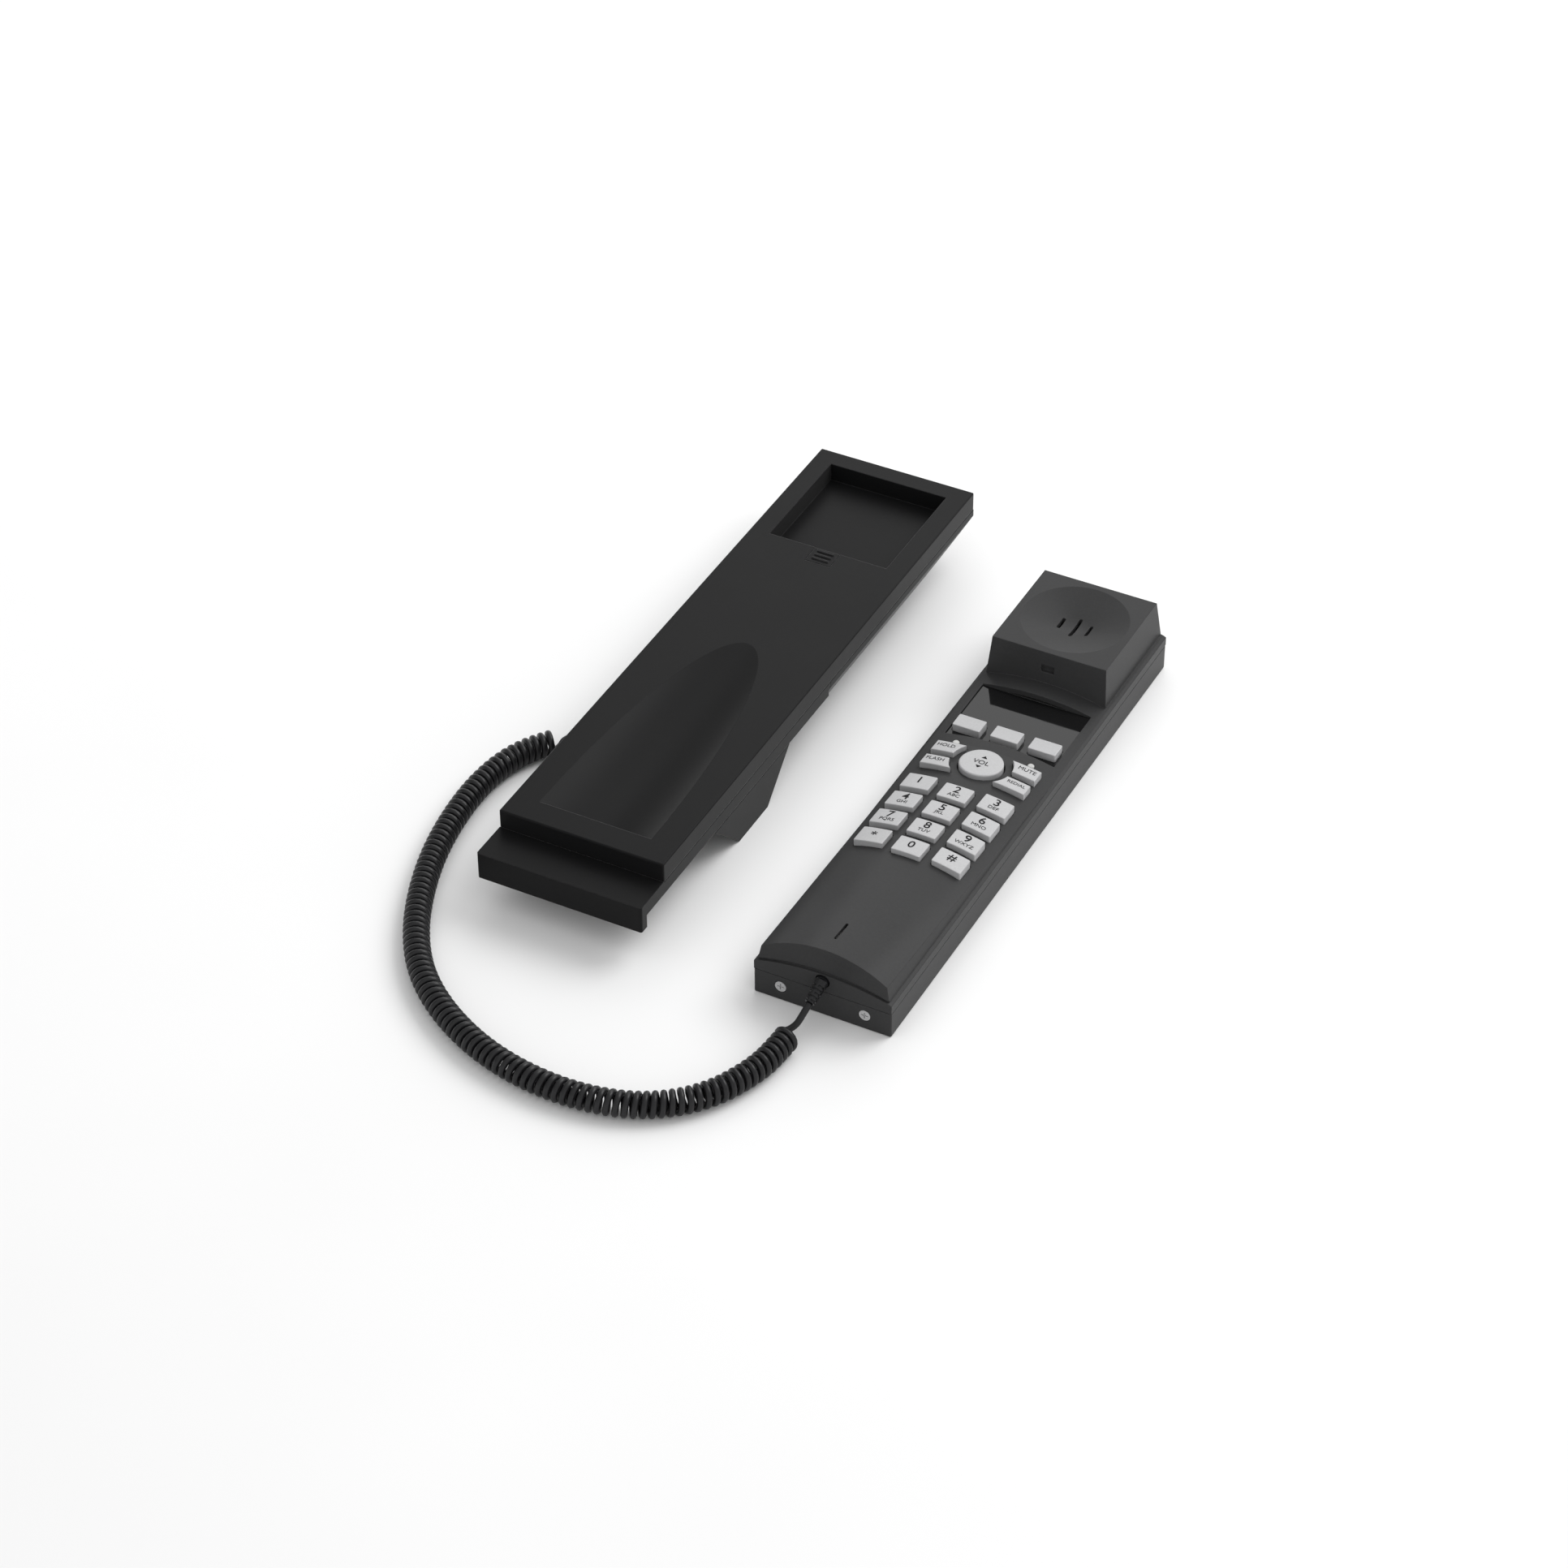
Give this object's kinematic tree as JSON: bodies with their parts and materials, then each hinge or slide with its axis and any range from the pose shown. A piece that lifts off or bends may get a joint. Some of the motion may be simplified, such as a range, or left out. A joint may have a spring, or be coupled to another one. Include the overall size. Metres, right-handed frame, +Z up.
{
  "type": "slimline wall phone",
  "caption": "Slimline wall phone: long flat cradle base on a wedge wall bracket, handset with keypad, volume rocker and speed-dial keys, joined by a curly cord.",
  "frame": {"origin": "on the supporting surface, under the middle of the box round the cradle base and the handset, without the cord, its strain relief and its plug", "axes": "+Z up from the table (out from the wall when the base is hung), +Y along both housings towards the earpiece end, +X from the base towards the handset"},
  "size_m": [0.1784, 0.3153, 0.0283],
  "materials": {
    "charcoal_plastic": "fine spark-eroded satin texture",
    "handset_plastic": "fine spark-eroded satin texture",
    "gloss_panel": "polished",
    "key_plastic": "satin light grey with printed characters",
    "light_lens": "milky",
    "screw_steel": "zinc plated",
    "screw_caps": "grey",
    "jack_plastic": "moulded black",
    "clear_plug": "clear polycarbonate",
    "circuit_board": "solder mask",
    "sounder_metal": "pressed can",
    "magnet_ferrite": "ground ferrite",
    "mat_rubber": "silicone",
    "switch_glass": "glass tube",
    "cord_vinyl": "soft vinyl"
  },
  "bodies": {
    "base": {"base_top_cover": "charcoal_plastic", "base_bottom_cover": "charcoal_plastic", "wall_bracket": "charcoal_plastic", "base_screws": "screw_steel", "handset_jack": "jack_plastic", "line_jack": "jack_plastic", "base_board": "circuit_board", "ringer": "sounder_metal", "cradle_magnet": "magnet_ferrite", "cord_handset_lead": "cord_vinyl", "cord_curly": "cord_vinyl", "cord_base_lead": "cord_vinyl", "cord_plug": "clear_plug"},
    "hook_tab": {"hook_tab": "charcoal_plastic"},
    "handset": {"handset_top_shell": "handset_plastic", "handset_bottom_shell": "handset_plastic", "case_screws": "screw_caps", "speed_dial_panel": "gloss_panel", "keypad_mat": "mat_rubber", "handset_board": "circuit_board", "hold_light": "light_lens", "mute_light": "light_lens", "microphone": "sounder_metal", "microphone_boot": "mat_rubber", "receiver_capsule": "sounder_metal", "receiver_gasket": "mat_rubber", "reed_switch": "switch_glass", "strain_relief": "cord_vinyl"},
    "digit_key_1": {"digit_key_1": "key_plastic"},
    "digit_key_2": {"digit_key_2": "key_plastic"},
    "digit_key_3": {"digit_key_3": "key_plastic"},
    "digit_key_4": {"digit_key_4": "key_plastic"},
    "digit_key_5": {"digit_key_5": "key_plastic"},
    "digit_key_6": {"digit_key_6": "key_plastic"},
    "digit_key_7": {"digit_key_7": "key_plastic"},
    "digit_key_8": {"digit_key_8": "key_plastic"},
    "digit_key_9": {"digit_key_9": "key_plastic"},
    "digit_key_star": {"digit_key_star": "key_plastic"},
    "digit_key_0": {"digit_key_0": "key_plastic"},
    "digit_key_hash": {"digit_key_hash": "key_plastic"},
    "hold_key": {"hold_key": "key_plastic"},
    "flash_key": {"flash_key": "key_plastic"},
    "mute_key": {"mute_key": "key_plastic"},
    "redial_key": {"redial_key": "key_plastic"},
    "speed_key_1": {"speed_key_1": "key_plastic"},
    "speed_key_2": {"speed_key_2": "key_plastic"},
    "speed_key_3": {"speed_key_3": "key_plastic"},
    "volume_rocker": {"volume_rocker": "key_plastic"}
  },
  "joints": [
    {"name": "handset_lift", "type": "slide", "parent": "base", "child": "handset", "axis": [0, 0, 1], "range_m": [0, 0.06]},
    {"name": "hook_tab_slide", "type": "slide", "parent": "base", "child": "hook_tab", "axis": [0, 1, 0], "range_m": [0, 0.009]},
    {"name": "digit_key_1_press", "type": "slide", "parent": "handset", "child": "digit_key_1", "axis": [0, 0, -1], "range_m": [0, 0.0011], "stiffness_N_per_m": 400, "springref_m": -0.0003},
    {"name": "digit_key_2_press", "type": "slide", "parent": "handset", "child": "digit_key_2", "axis": [0, 0, -1], "range_m": [0, 0.0011], "stiffness_N_per_m": 400, "springref_m": -0.0003},
    {"name": "digit_key_3_press", "type": "slide", "parent": "handset", "child": "digit_key_3", "axis": [0, 0, -1], "range_m": [0, 0.0011], "stiffness_N_per_m": 400, "springref_m": -0.0003},
    {"name": "digit_key_4_press", "type": "slide", "parent": "handset", "child": "digit_key_4", "axis": [0, 0, -1], "range_m": [0, 0.0011], "stiffness_N_per_m": 400, "springref_m": -0.0003},
    {"name": "digit_key_5_press", "type": "slide", "parent": "handset", "child": "digit_key_5", "axis": [0, 0, -1], "range_m": [0, 0.0011], "stiffness_N_per_m": 400, "springref_m": -0.0003},
    {"name": "digit_key_6_press", "type": "slide", "parent": "handset", "child": "digit_key_6", "axis": [0, 0, -1], "range_m": [0, 0.0011], "stiffness_N_per_m": 400, "springref_m": -0.0003},
    {"name": "digit_key_7_press", "type": "slide", "parent": "handset", "child": "digit_key_7", "axis": [0, 0, -1], "range_m": [0, 0.0011], "stiffness_N_per_m": 400, "springref_m": -0.0003},
    {"name": "digit_key_8_press", "type": "slide", "parent": "handset", "child": "digit_key_8", "axis": [0, 0, -1], "range_m": [0, 0.0011], "stiffness_N_per_m": 400, "springref_m": -0.0003},
    {"name": "digit_key_9_press", "type": "slide", "parent": "handset", "child": "digit_key_9", "axis": [0, 0, -1], "range_m": [0, 0.0011], "stiffness_N_per_m": 400, "springref_m": -0.0003},
    {"name": "digit_key_star_press", "type": "slide", "parent": "handset", "child": "digit_key_star", "axis": [0, 0, -1], "range_m": [0, 0.0011], "stiffness_N_per_m": 400, "springref_m": -0.0003},
    {"name": "digit_key_0_press", "type": "slide", "parent": "handset", "child": "digit_key_0", "axis": [0, 0, -1], "range_m": [0, 0.0011], "stiffness_N_per_m": 400, "springref_m": -0.0003},
    {"name": "digit_key_hash_press", "type": "slide", "parent": "handset", "child": "digit_key_hash", "axis": [0, 0, -1], "range_m": [0, 0.0011], "stiffness_N_per_m": 400, "springref_m": -0.0003},
    {"name": "hold_key_press", "type": "slide", "parent": "handset", "child": "hold_key", "axis": [0, 0, -1], "range_m": [0, 0.0011], "stiffness_N_per_m": 400, "springref_m": -0.0003},
    {"name": "flash_key_press", "type": "slide", "parent": "handset", "child": "flash_key", "axis": [0, 0, -1], "range_m": [0, 0.0011], "stiffness_N_per_m": 400, "springref_m": -0.0003},
    {"name": "mute_key_press", "type": "slide", "parent": "handset", "child": "mute_key", "axis": [0, 0, -1], "range_m": [0, 0.0011], "stiffness_N_per_m": 400, "springref_m": -0.0003},
    {"name": "redial_key_press", "type": "slide", "parent": "handset", "child": "redial_key", "axis": [0, 0, -1], "range_m": [0, 0.0011], "stiffness_N_per_m": 400, "springref_m": -0.0003},
    {"name": "speed_key_1_press", "type": "slide", "parent": "handset", "child": "speed_key_1", "axis": [0, 0, -1], "range_m": [0, 0.0011], "stiffness_N_per_m": 400, "springref_m": -0.0003},
    {"name": "speed_key_2_press", "type": "slide", "parent": "handset", "child": "speed_key_2", "axis": [0, 0, -1], "range_m": [0, 0.0011], "stiffness_N_per_m": 400, "springref_m": -0.0003},
    {"name": "speed_key_3_press", "type": "slide", "parent": "handset", "child": "speed_key_3", "axis": [0, 0, -1], "range_m": [0, 0.0011], "stiffness_N_per_m": 400, "springref_m": -0.0003},
    {"name": "volume_rocker_tilt", "type": "hinge", "parent": "handset", "child": "volume_rocker", "pos_m": [0.04915, -0.0035, 0.0149], "axis": [1, 0, 0], "range_deg": [-4, 4], "stiffness_Nm_per_rad": 0.03}
  ]
}
